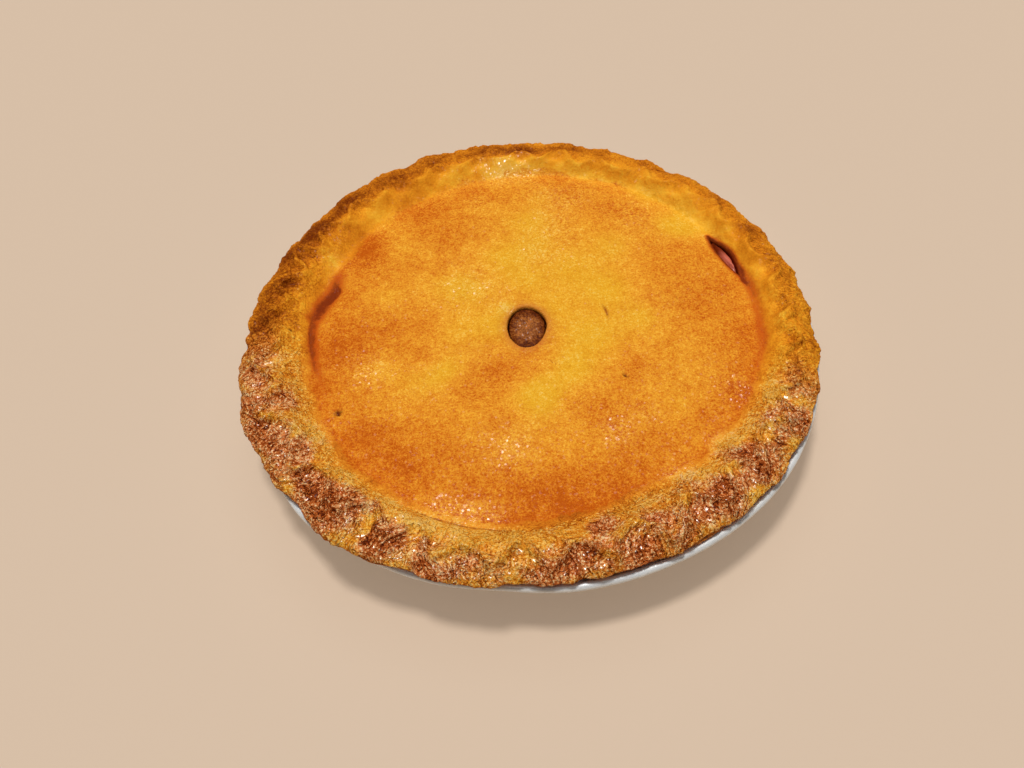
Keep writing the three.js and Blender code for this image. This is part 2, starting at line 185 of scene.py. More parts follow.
# Juice that bubbled up and baked on: points [x, y, strength] and width in mm, then amount.
STAINS = [
    ([(-82.8, 38, 0.7), (-84.3, 30, 1.0), (-88.4, 22, 1.1), (-91, 15, 1.0)], 4.4, 1),
    ([(-91, 15, 0.9), (-91.3, 4, 0.9), (-89.5, -9, 0.7), (-85.5, -22, 0.4), (-81.5, -30, 0.2)], 2.7, 1),
    ([(-83.4, 35.5, 0.7), (-82.4, 30, 1.5), (-85.5, 25.5, 1.4), (-89, 20.5, 0.9)], 2.2, 1),
    ([(-92.3, 15, 0.8), (-92.6, 6, 1.1), (-91.4, -3, 1.0), (-88.5, -14, 0.6)], 1.0, 1),
    ([(86, 49, 0.8), (91, 40, 1.0), (94.5, 30, 1.1), (95.5, 24, 0.9)], 1.9, 1),
    ([(94.6, 27, 0.8), (97.2, 19.4, 0.75), (98.2, 11, 0.6), (98.2, 3, 0.6), (97.4, -9, 0.6),
      (96, -17, 0.45), (92, -26, 0.25)], 3.0, 1),
    ([(93.4, 28, 0.8), (94.8, 23.5, 1.3), (96.4, 19.5, 0.6)], 1.6, 1),
]


def linear(value):
    """One channel of a colour picked on a screen, from 0 to 255, as Blender's linear value."""
    value /= 255
    return value / 12.92 if value <= 0.04045 else ((value + 0.055) / 1.055) ** 2.4


def length(name, description, default_mm):
    return FloatProperty(
        name=name, description=description, default=default_mm * MM, min=0, unit="LENGTH", precision=5
    )


def colour(name, description, *screen):
    """A colour setting whose default is given as picked on a screen: red, green and blue."""
    return FloatVectorProperty(
        name=name, description=description, default=[linear(value) for value in screen],
        min=0, max=1, size=3, subtype="COLOR",
    )


def amount(name, description, default):
    return FloatProperty(name=name, description=description, default=default, min=0, max=10)


def degrees(name, description, default):
    turn = math.radians(default)
    return FloatProperty(name=name, description=description, default=turn, subtype="ANGLE")


class TinSettings(bpy.types.PropertyGroup):
    """Sizes and colour of the foil tin"""
    floor_radius: length("Floor radius", "Radius of the flat floor", 91)
    wall_top_radius: length("Wall top", "Radius of the wall where the flange starts", 110)
    flange_top: length("Flange height", "Height of the flange's upper face", 26.2)
    bead_centre: length("Bead radius", "Radius of the rolled edge, at its middle", 118.7)
    bead_size: length("Bead size", "Radius of the rolled edge's own round section", 1.7)
    foil: length("Foil", "Thickness of the foil", 0.5)
    metal: colour("Metal", "Colour of the foil", 244, 246, 244)


class CrustSettings(bpy.types.PropertyGroup):
    """Sizes of the two pastry layers"""
    base_thickness: length("Base thickness", "Thickness of the lower crust", 3.5)
    base_edge: length("Base edge", "Radius of the lower crust's edge on the flange", 116.6)
    lid_thickness: length("Lid thickness", "Thickness of the lid", 4.5)
    vent_across: length("Vent width", "Half the vent's width, from left to right", 8.2)
    vent_along: length("Vent length", "Half the vent's length, from front to back", 11.0)
    groove_radius: length("Groove", "Radius of the groove between lid and rim", 95.9)
    groove_height: length("Groove height", "Height of the groove", 31)
    shoulder: length("Shoulder", "Rise of the lid just inside the groove", 3)
    dome: length("Dome", "Further rise to the middle of the lid", 1.2)
    shelf_radius: length("Shelf", "Radius where the rim levels off", 106)
    shelf_height: length("Shelf height", "Height of the rim without its ridge", 35.8)
    edge_radius: length("Edge", "Radius of the rim's outer edge", 119.1)
    edge_height: length("Edge height", "Height of the upper corner of the edge", 32.2)
    flute: length("Flute", "How far each crimp pushes the edge out", 0.8)
    reach: length("Crimp reach", "How far the ridge swings in and out", 2.6)
    crest_radius: length("Crest", "Middle radius of the ridge", 108.2)
    ridge: length("Ridge", "Height of the ridge", 2.7)
    crimps: IntProperty(name="Crimps", description="Crimps round the rim", default=32, min=3)


class BakeSettings(bpy.types.PropertyGroup):
    """Colours of the pastry and the filling"""
    amber: colour("Amber", "Lid where it baked most", 190, 86, 8)
    orange: colour("Orange", "Well baked lid", 212, 112, 22)
    gold: colour("Gold", "Plain lid", 226, 138, 34)
    honey: colour("Honey", "Lightly baked lid", 238, 158, 42)
    butter: colour("Butter", "Least baked lid", 250, 180, 56)
    cream: colour("Cream", "Brightest specks of the lid", 255, 206, 108)
    yellow: colour("Yellow", "The palest, least browned parts of the lid", 228, 178, 26)
    umber: colour("Umber", "Darkest pastry away from the glaze", 116, 46, 2)
    nut: colour("Nut", "Well browned pastry", 164, 84, 10)
    caramel: colour("Caramel", "Browned pastry", 212, 122, 20)
    ochre: colour("Ochre", "Lightly browned pastry", 240, 155, 32)
    straw: colour("Straw", "Pale ridges of the rim", 252, 187, 52)
    # Blond and sugar, the brightest colours of the rim, are also the colours of its painted glints.
    blond: colour("Blond", "Brightest flakes of the golden rim", 255, 202, 92)
    plum: colour("Plum", "Darkest glazed pastry", 92, 28, 2)
    # Brown is partly painted shade, in the hollows, the folds and the vent's inner wall; tan lightens the
    # raised parts.
    brown: colour("Brown", "Hollows of the glazed rim", 148, 62, 14)
    toast: colour("Toast", "Glazed rim", 194, 98, 38)
    tan: colour("Tan", "Raised parts of the glazed rim", 218, 126, 64)
    wheat: colour("Wheat", "Thin edges of the glazed rim", 246, 166, 98)
    sugar: colour("Sugar", "Brightest specks of the glazed rim", 255, 210, 148)
    juice: colour("Juice", "Pastry soaked with juice", 192, 80, 16)
    syrup: colour("Syrup", "Juice baked into cracks", 120, 40, 10)
    pit_shade: colour("Pit shade", "Inside of a pricked hole", 92, 26, 6)
    blush: colour("Blush", "Pastry softened round the vent", 200, 112, 50)
    filling: colour("Filling", "Cooked apple", 158, 92, 36)
    cinnamon: colour("Cinnamon", "Spiced juice on the apple", 120, 56, 14)
    burnt: colour("Burnt", "Apple at the edge of the vent", 80, 30, 6)
    jelly: colour("Jelly", "Set juice in the slit", 206, 104, 80)


class StageSettings(bpy.types.PropertyGroup):
    """Floor, lights and camera"""
    floor: colour("Floor", "Colour of the floor", 215, 191, 167)
    glow: amount("Floor glow", "Share of the floor's brightness that shines through from below", 0.33)
    distance: length("Camera distance", "From the camera to the vent", 468)
    elevation: degrees("Elevation", "Camera's height above the horizon", 48.5)
    roll: degrees("Roll", "Camera's roll", 4.107)
    lens: FloatProperty(name="Lens", description="Focal length in mm", default=39.16, min=1)
    key: amount("Key light", "Strength of the small light overhead", 2.1)
    fill: amount("Softbox", "Strength of the broad softbox overhead", 0.9)
    back: amount("Back light", "Strength of the light from behind", 0.12)
    sky: amount("Sky", "Strength of the even light from all round", 0.03)


def bell(away, width):
    """1 in the middle, about a third at the width and next to nothing at twice the width."""
    return np.exp(-((away / width) ** 2))


def turned(angle, centre):
    """How far round the pie each angle is from the centre, from -180 to 180 degrees."""
    return (angle - centre + 180) % 360 - 180


def swell(angle, swells):
    """The sum of local changes at each angle, in metres."""
    return sum(size * bell(turned(angle, centre), width) for centre, width, size in swells) * MM


def ripple(angle, waves):
    return sum(size * np.cos(np.radians(count * angle - phase)) for count, size, phase in waves)


def smooth(value, low, high):
    part = np.clip((value - low) / (high - low), 0, 1)
    return part * part * (3 - 2 * part)


def blend(start, end, part):
    return start + (end - start) * part


def at(value, *places):
    """The value at these places, if it is a function of them, or else the value itself."""
    return value(*places) if callable(value) else value


def slit_side(bow, part):
    """A point on one side of the slit, which bows inwards if bow is above 0, from end to end."""
    along = SLIT_TO - SLIT_FROM
    across = np.array([along[1], -along[0]]) / np.linalg.norm(along)
    return SLIT_FROM + along * part + across * bow * MM * 4 * part * (1 - part)


def slit_depth(x, y):
    """How far inside the slit each place is, below 0 outside it, in metres."""
    reach = np.linalg.norm(SLIT_TO - SLIT_FROM)
    along = (SLIT_TO - SLIT_FROM) / reach
    part = ((x - SLIT_FROM[0]) * along[0] + (y - SLIT_FROM[1]) * along[1]) / reach
    side = (x - SLIT_FROM[0]) * along[1] - (y - SLIT_FROM[1]) * along[0]
    inside = np.clip(part, 0, 1)
    bow = np.where(side > 0, SLIT_BOW[0], SLIT_BOW[1]) * MM * 4 * inside * (1 - inside)
    beyond = np.abs(part - inside) * reach
    across = bow - np.abs(side)
    return np.where(across > 0, across - beyond, -np.hypot(across, beyond))


def spots(x, y, places):
    """The sum of round soft spots [x, y, size, amount], in the unit of their amounts."""
    return sum(more * bell(np.hypot(x / MM - spot_x, y / MM - spot_y), size)
               for spot_x, spot_y, size, more in places)


def patches(radius, angle, places):
    """The sum of soft patches [angle, radius, size round the pie, size outwards, amount]."""
    return sum(more * bell(np.radians(turned(angle, centre)) * middle, around)
               * bell(radius / MM - middle, outwards)
               for centre, middle, around, outwards, more in places)


def strokes(x, y, lines):
    """Soft strokes along lines of points [x, y, strength]: the strongest that reaches each place."""
    total = np.zeros_like(x)
    for points, width, weight in lines:
        for (x0, y0, s0), (x1, y1, s1) in zip(points, points[1:]):
            along_x, along_y = x1 - x0, y1 - y0
            part = ((x / MM - x0) * along_x + (y / MM - y0) * along_y) / (along_x**2 + along_y**2)
            part = np.clip(part, 0, 1)
            away = np.hypot(x / MM - x0 - part * along_x, y / MM - y0 - part * along_y)
            total = np.maximum(total, weight * blend(s0, s1, part) * bell(away, width))
    return total


class CrustShape:
    """The height of the top crust anywhere, worked out from its settings."""

    def __init__(self, settings):
        self.s = settings

    def groove(self, angle):
        return self.s.groove_radius + ripple(angle, GROOVE_WAVES) * MM + swell(angle, GROOVE_SWELLS)

    def vent(self, angle):
        turn = np.radians(angle)
        across, along = self.s.vent_across, self.s.vent_along
        oval = across * along / np.hypot(along * np.cos(turn), across * np.sin(turn))
        return oval * (1 + 0.02 * np.cos(3 * turn - 1.2))

    def crimp(self, angle):
        """1 at a crimp's outer point and -1 midway between two."""
        count = self.s.crimps * angle / 360 - CRIMP_START + ripple(angle, CRIMP_DRIFT)
        part = count - np.floor(count)
        return 1 - 4 * np.minimum(part, 1 - part)

    def edge(self, angle):
        ragged = field(on_circle(angle), 0.0065, 71, 3) * 0.55 * MM + swell(angle, EDGE_FLAKES)
        return self.s.edge_radius + swell(angle, EDGE_SWELLS) + self.s.flute * self.crimp(angle) + ragged

    def edge_height(self, angle):
        return self.s.edge_height + swell(angle, EDGE_RISES)

    def crest(self, angle):
        reach = self.s.reach + swell(angle, REACH_SWELLS)
        rounded = np.sin(self.crimp(angle) * math.pi / 2)
        return self.s.crest_radius + swell(angle, CREST_SWELLS) + reach * rounded

    def crack(self, radius, angle):
        centre, middle, width, breadth, depth = CRACK
        return swell(angle, [(centre, width, depth)]) * bell(radius / MM - middle, breadth)

    def lid(self, radius, angle):
        x, y = flat(radius, angle)
        out = radius / self.groove(angle)
        humps = spots(x, y, LID_SWELLS) * MM
        for along_x, along_y, phase, size in LID_HUMPS:
            humps += size * MM * np.sin((along_x * x + along_y * y) / MM + math.radians(phase))
        dome = self.s.shoulder * (1 - out**4) + self.s.dome * (1 - out**2)
        return self.s.groove_height + dome + humps * (1 - out**6) - self.crack(radius, angle)

    def wander(self, radius, angle):
        """The place whose shape is used here, a little to one side, so that no crimp is like the next."""
        x, y = flat(radius, angle)
        places = np.stack([x, y, np.zeros_like(x)], 1)
        x = x + (field(places, 0.015, 61) * 2.8 + field(places, 0.0042, 62) * 1.0) * MM
        y = y + (field(places, 0.015, 63) * 2.8 + field(places, 0.0042, 64) * 1.0) * MM
        return np.hypot(x, y), np.degrees(np.arctan2(y, x)) % 360

    def ridge(self, radius, angle):
        """The zigzag ridge: 1 on its crest, falling gently inwards and sharply outwards."""
        away = (radius - self.crest(angle)) / MM
        return np.exp(-np.abs(away / np.where(away < 0, 3.0, 1.5)) ** 1.6)

    def hollow(self, radius, angle):
        """The thumb marks inside the ridge's outer points."""
        away = (radius - self.crest(angle)) / MM
        return bell(away + 5.2, 2.6) * smooth(self.crimp(angle), -0.4, 0.9)

    def rim(self, radius, angle):
        rise = smooth(radius, self.groove(angle), self.s.shelf_radius)
        edge = self.edge(angle)
        over = np.maximum(0, (radius - self.s.shelf_radius) / (edge - self.s.shelf_radius))
        shelf = blend(self.s.groove_height, self.s.shelf_height, rise)
        drop = (self.s.shelf_height - self.edge_height(angle)) * over**2.6
        radius_here, angle_here = self.wander(radius, angle)
        raised = (self.s.ridge + swell(angle, RIDGE_SWELLS)) * self.ridge(radius_here, angle_here)
        raised -= 1.0 * MM * self.hollow(radius_here, angle_here)
        inside = 1 - smooth(over, 0.75, 1)
        return shelf + raised * rise * inside - drop - self.crack(radius, angle)

    def top(self, radius, angle):
        x, y = flat(radius, angle)
        height = np.where(radius < self.groove(angle), self.lid(radius, angle), self.rim(radius, angle))
        return height - (strokes(x, y, CREASES) + spots(x, y, PITS)) * MM


class Rings:
    """A surface made of stacked rings. Neighbouring rings have as many points, half or twice as
    many, and a ring of one point closes the surface on the axis."""

    def __init__(self):
        self.points, self.faces, self.last, self.first = [], [], None, None
        self.count = 0

    def add(self, steps, radius, height):
        """Adds a ring. Its radius is a length or a function of the angles, and its height is a length
        or a function of the radii and the angles."""
        angle = np.arange(steps) * 360.0 / steps
        radius = np.broadcast_to(at(radius, angle), steps)
        height = np.broadcast_to(at(height, radius, angle), steps)
        turn = np.radians(angle)
        self.points.append(np.stack([radius * np.cos(turn), radius * np.sin(turn), height], 1))
        ring = (self.count, steps)
        self.count += steps
        if self.last:
            self.bridge(self.last, ring)
        else:
            self.first = ring
        self.last = ring

    def sweep(self, steps, start, end, count, height):
        """Adds rings whose radii go evenly from start to end."""
        for part in np.linspace(0, 1, count):
            self.add(steps, lambda angle: blend(at(start, angle), at(end, angle), part), height)

    def bridge(self, low, high):
        (a, n), (b, m) = low, high
        few, many = min(n, m), max(n, m)
        i, each = np.arange(few), np.arange(many)
        j, following = (i + 1) % few, (each + 1) % many
        if n == 1:
            blocks = [(np.full(m, a), b + following, b + each)]
        elif m == 1:
            blocks = [(a + each, a + following, np.full(n, b))]
        elif n == m:
            blocks = [(a + i, a + j, b + j, b + i)]
        elif many == 2 * few:
            few_first, many_first = (a, b) if n < m else (b, a)
            left, mid, right = (many_first + (2 * i + step) % many for step in (0, 1, 2))
            start, end = few_first + i, few_first + j
            blocks = [(start, mid, left), (start, end, mid), (end, right, mid)]
            blocks = [corners if n < m else corners[::-1] for corners in blocks]
        else:
            raise ValueError(f"rings of {n} and {m} points can't be joined")
        self.faces += [np.stack(corners, 1) for corners in blocks]

    def build(self, name):
        mesh = bpy.data.meshes.new(name)
        faces = [face for block in self.faces for face in block.tolist()]
        mesh.from_pydata(np.concatenate(self.points).tolist(), [], faces)
        mesh.shade_smooth()
        return link(bpy.data.objects.new(name, mesh))


def link(thing):
    bpy.context.scene.collection.objects.link(thing)
    return thing


def vectors(things, key):
    """The vectors that a mesh keeps for each of its points, as rows of three."""
    numbers = np.zeros(len(things) * 3)
    things.foreach_get(key, numbers)
    return numbers.reshape(-1, 3)


def survey(mesh):
    """Each point of a mesh, its normal, and its radius and angle round the pie."""
    points = vectors(mesh.vertices, "co")
    return points, vectors(mesh.vertex_normals, "vector"), *polar(points)


def polar(points):
    angle = np.degrees(np.arctan2(points[:, 1], points[:, 0])) % 360
    return np.hypot(points[:, 0], points[:, 1]), angle


def flat(radius, angle):
    turn = np.radians(angle)
    return radius * np.cos(turn), radius * np.sin(turn)


def on_circle(angle):
    x, y = flat(0.115, angle)
    return np.stack([x, y, np.zeros_like(x)], 1)


def swirl(points, lean, stretch):
    """Noise coordinates round the rim. Lines that lean by that many degrees for each mm keep the same
    place round the pie, and distances along them count by stretch."""
    radius, angle = polar(points)
    x, y = flat(0.112, angle + lean * (radius / MM - 110))
    return np.stack([x, y, radius * stretch + points[:, 2] * 0.7], 1)


def near_side(points):
    """1 on the near side of the pie and in its middle, falling to 0 on the far side."""
    return smooth(points[:, 1] + 0.25 * points[:, 0], 0.07, 0)


def strands(points):
    """Noise coordinates whose streaks turn this way and that, as torn layers of pastry do."""
    return swirl(points, field(points, 0.02, 12) * 1.1, 0.4)


def field(places, size, seed, octaves=2):
    """Smooth noise of about -1 to 1 at each place, with lumps of the given size in metres."""
    shift = Vector((seed * 3.7, seed * 1.9, seed * 5.3))
    scale = 1 / size
    return np.array([
        noise.fractal(Vector(place) * scale + shift, 0.9, 2.1, octaves) for place in places.tolist()
    ])


def leaves_of(places, size, seed):
    """Ridged noise of 0 to about 1: sharp crests with smooth hollows between, like flaky layers."""
    shift = Vector((seed * 2.3, seed * 4.1, seed * 1.7))
    scale = 1 / size
    return np.array([
        noise.ridged_multi_fractal(Vector(place) * scale + shift, 0.9, 2.1, 3, 1.0, 1.8)
        for place in places.tolist()
    ]) * 0.5


def push(mesh, points, directions, distance):
    mesh.vertices.foreach_set("co", (points + directions * distance[:, None]).ravel())
    mesh.update()


def store(mesh, **looks):
    """Keeps a number or a vector for each point under each name, for the materials to read."""
    for name, values in looks.items():
        kind, key = ("FLOAT", "value") if values.ndim == 1 else ("FLOAT_VECTOR", "vector")
        attribute = mesh.attributes.new(name, kind, "POINT")
        attribute.data.foreach_set(key, values.astype(np.float32).ravel())


def hand_over(piece, material, node):
    """Gives a piece its material and says which solid it dresses."""
    piece.data.materials.clear()
    piece.data.materials.append(material)
    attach(piece, BODY)
    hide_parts(node)


class Value:
    """A number that a material works out, so that sums and products can be written with it."""

    def __init__(self, paint, socket):
        self.paint, self.socket = paint, socket

    def __add__(self, other):
        return self.paint.math("ADD", self, other)

    def __sub__(self, other):
        return self.paint.math("SUBTRACT", self, other)

    def __rsub__(self, other):
        return self.paint.math("SUBTRACT", other, self)

    def __mul__(self, other):
        return self.paint.math("MULTIPLY", self, other)

    __radd__, __rmul__ = __add__, __mul__

    def around(self, size):
        """Noise of 0 to 1 turned into a change of plus or minus half of size."""
        return (self - 0.5) * size

    def step(self, low, high):
        """0 below low, 1 above high and a smooth step between."""
        inputs = {"Value": self, "From Min": low, "From Max": high}
        made = self.paint.node("MapRange", inputs, interpolation_type="SMOOTHSTEP")
        return Value(self.paint, made.outputs["Result"])


class Paint:
    """A material under construction, with short calls that add and link its nodes."""

    def __init__(self, name):
        self.material = bpy.data.materials.new(name)
        self.material.use_nodes = True
        self.tree = self.material.node_tree
        self.shader = self.tree.nodes["Principled BSDF"]

    def put(self, socket, value):
        if isinstance(value, Value):
            value = value.socket
        if isinstance(value, bpy.types.NodeSocket):
            self.tree.links.new(value, socket)
        elif socket.type == "RGBA":
            socket.default_value = (*value, 1)
        else:
            socket.default_value = value

    def node(self, kind, inputs, **options):
        made = self.tree.nodes.new("ShaderNode" + kind)
        for option, value in options.items():
            setattr(made, option, value)
        for key, value in inputs.items():
            self.put(made.inputs[key], value)
        return made

    def place(self):
        return self.node("TexCoord", {}).outputs["Object"]

    def masks(self, names):
        """The numbers stored in the mesh under each of the names."""
        nodes = [self.node("Attribute", {}, attribute_name=name) for name in names.split()]
        return [Value(self, made.outputs["Fac"]) for made in nodes]

    def vector(self, name):
        return self.node("Attribute", {}, attribute_name=name).outputs["Vector"]

    def grain(self, where, size_mm, detail, roughness, distortion=0.0):
        inputs = {"Vector": where, "Scale": 1 / (size_mm * MM), "Detail": detail,
                  "Roughness": roughness, "Distortion": distortion}
        return Value(self, self.node("TexNoise", inputs).outputs["Fac"])

    def ridges(self, where, size_mm, distortion):
        """1 along the crests of a crinkled sheet, falling to 0 between them."""
        inputs = {"Vector": where, "Scale": 1 / (size_mm * MM), "Detail": 0.0, "Distortion": distortion,
                  "Offset": 1.0}
        return Value(self, self.node("TexNoise", inputs, noise_type="RIDGED_MULTIFRACTAL").outputs["Fac"])

    def math(self, operation, first, second):
        return Value(self, self.node("Math", {0: first, 1: second}, operation=operation).outputs[0])

    def vectors(self, operation, inputs):
        return self.node("VectorMath", inputs, operation=operation).outputs[0]

    def facets(self, where, along, part, size_mm, lean, normal=None):
        """Normals of small flat flakes, each of which leans its own way."""
        bent = self.node("Mix", {0: part, 4: where, 5: along}, data_type="VECTOR").outputs[1]
        flake = self.node("TexVoronoi", {"Vector": bent, "Scale": 1 / (size_mm * MM)}).outputs["Color"]
        aside = self.vectors("SUBTRACT", {0: flake, 1: (0.5, 0.5, 0.5)})
        scaled = self.vectors("SCALE", {0: aside, "Scale": lean})
        surface = normal or self.node("NewGeometry", {}).outputs["Normal"]
        return self.vectors("NORMALIZE", {0: self.vectors("ADD", {0: surface, 1: scaled})})

    def ramp(self, value, colours, names):
        """Blends evenly from one named colour to the next as value goes from 0 to 1."""
        made = self.node("ValToRGB", {"Fac": value})
        stops, names = made.color_ramp.elements, names.split()
        for place in range(1, len(names) - 1):
            stops.new(place / (len(names) - 1))
        for stop, name in zip(stops, names):
            stop.color = (*getattr(colours, name), 1)
        return made.outputs["Color"]

    def mix(self, part, first, second):
        return self.node("Mix", {0: part, 6: first, 7: second}, data_type="RGBA").outputs[2]

    def bump(self, height, distance_mm, strength=1.0, **normal):
        inputs = {"Height": height, "Distance": distance_mm * MM, "Strength": strength, **normal}
        return self.node("Bump", inputs).outputs["Normal"]

    def finish(self, **inputs):
        for name, value in inputs.items():
            self.put(self.shader.inputs[name.replace("_", " ").title().replace("Ior", "IOR")], value)
        return self.material


def pastry_paint(bake):
    """Glazed pastry: a fine golden crumb on the lid and browned, flaky, glinting pastry on the rim."""
    paint = Paint("GlazedPastry")
    grain, ridges, ramp, mix = paint.grain, paint.ridges, paint.ramp, paint.mix
    where, along = paint.place(), paint.vector("strands")
    tone, shine, rim, outer, flaked, dusted = paint.masks("tone shine rim outer flaked dusted")
    brown, raised, stain, folded = paint.masks("brown raised stain folded")
    pricked, lip, throat = paint.masks("pricked lip throat")

    soft = grain(where, 11, 3, 0.55)
    cloud = grain(where, 3.6, 3, 0.6)
    crumb = grain(where, 1.2, 3, 0.65)
    speck = grain(where, 0.7, 2, 0.6)
    level = -0.42 * tone + 0.75 + soft.around(-0.4) + cloud.around(0.6) + crumb.around(0.9)
    # Painted highlight: the lid's colour is lightened in the glinting spots.
    level += speck.around(1.1) + 0.25 * (crumb.step(0.45, 0.6) * shine)
    lid = ramp(level, bake, "amber orange gold honey butter cream")
    lid = mix(0.42 * tone.step(0.6, 0.05), lid, bake.yellow)

    streaks = grain(along, 2.2, 3, 0.65, 0.5)
    blister = grain(where, 2.4, 3, 0.65, 1.0)
    patch = grain(where, 5.5, 2, 0.6)
    grit = grain(where, 0.9, 2, 0.7, 0.6)
    flaky = grain(along, 0.9, 2, 0.7, 0.8).around(0.6) + grit.around(1.8)
    # Crinkles: their ridges are lighter and their creases darker in colour, as painted highlight and
    # painted shade; they shape the bumps too.
    crease = ridges(where, 4.0, 1.5).step(0.75, 0.98)
    folds = (ridges(along, 3.2, 0.8) - 0.7 * crease - 0.45) * (0.4 + 0.6 * dusted)
    baked = brown + patch.around(0.9) + streaks.around(0.5) + blister.around(0.4)
    near = flaked * dusted
    rough = 0.2 + 0.3 * flaked + 0.2 * near + baked.step(0, 0.5) * (0.15 * (flaked + near))
    veins = blister.around(0.6) + streaks.around(0.3) + patch.around(0.3) + flaky + 0.4 * folds
    # Painted highlight: the rim's colour is lightened in the glinting spots.
    # Painted shade: raised flakes are lighter and the hollows between them darker (0.14 * raised).
    crisp = 0.81 + brown * (0.3 * dusted - 0.6) - 0.3 * tone + veins * rough + 0.14 * raised + 0.2 * shine
    # Painted glints: small bright flecks on the near rim, pushed towards the brightest colours.
    crisp += 0.4 * (grit.step(0.53, 0.64) * crisp.step(0.35, 0.75) * near)
    golden = ramp(crisp, bake, "umber nut caramel ochre straw blond")
    glazed = ramp(crisp, bake, "plum brown toast tan wheat sugar")
    browned = 0.85 * baked.step(0.05, 0.6) + 0.15
    crust = mix(browned * dusted, golden, glazed)
    edge = rim + cloud.around(0.9) + crumb.around(0.7)
    skin = mix(edge.step(0.25, 0.8), lid, crust)

    skin = mix(0.13 * (rim * (1 - outer)) * dusted, skin, bake.juice)
    ragged = stain + cloud.around(0.5) + crumb.around(0.5)
    skin = mix(0.8 * ragged.step(0.1, 0.7), skin, bake.juice)
    skin = mix(0.9 * ragged.step(0.6, 1.05), skin, bake.syrup)
    # Painted shade: the folds are darkened towards brown, with ragged edges.
    ragged_crease_shade = folded + crumb.around(1.2) + cloud.around(0.8)
    skin = mix(ragged_crease_shade.step(0.35, 1.0) * folded, skin, bake.brown)
    # Painted shade inside the pricked holes.
    skin = mix(pricked, skin, bake.pit_shade)
    skin = mix(0.6 * lip, skin, bake.blush)
    # Painted shade: the vent's inner wall is darkened towards brown.
    skin = mix(throat * lip, skin, bake.brown)

    relief = (0.4 * flaky + 0.35 * folds + streaks.around(0.4)) * rough
    bumped = paint.bump(crumb + 0.4 * speck, 0.45, 0.8)
    bumped = paint.bump(relief * flaked, 1.2, Normal=bumped)
    bumped = paint.facets(where, along, 0.5 * rim, 1.1, 0.3 * flaked + 0.35 * outer, bumped)
    gloss = crisp.step(0.4, 0.85) * baked.step(-0.35, 0.2) * (outer * dusted) * grit.step(0.42, 0.6)
    glints = shine * (0.2 + 0.25 * grit.step(0.45, 0.6))
    return paint.finish(base_color=skin, roughness=0.8, normal=bumped, specular_ior_level=0.05,
                        coat_weight=0.02 + glints + 0.6 * gloss, coat_roughness=0.22, coat_ior=1.75,
                        coat_normal=paint.facets(where, along, 0.5 * rim, 0.8, 0.65))


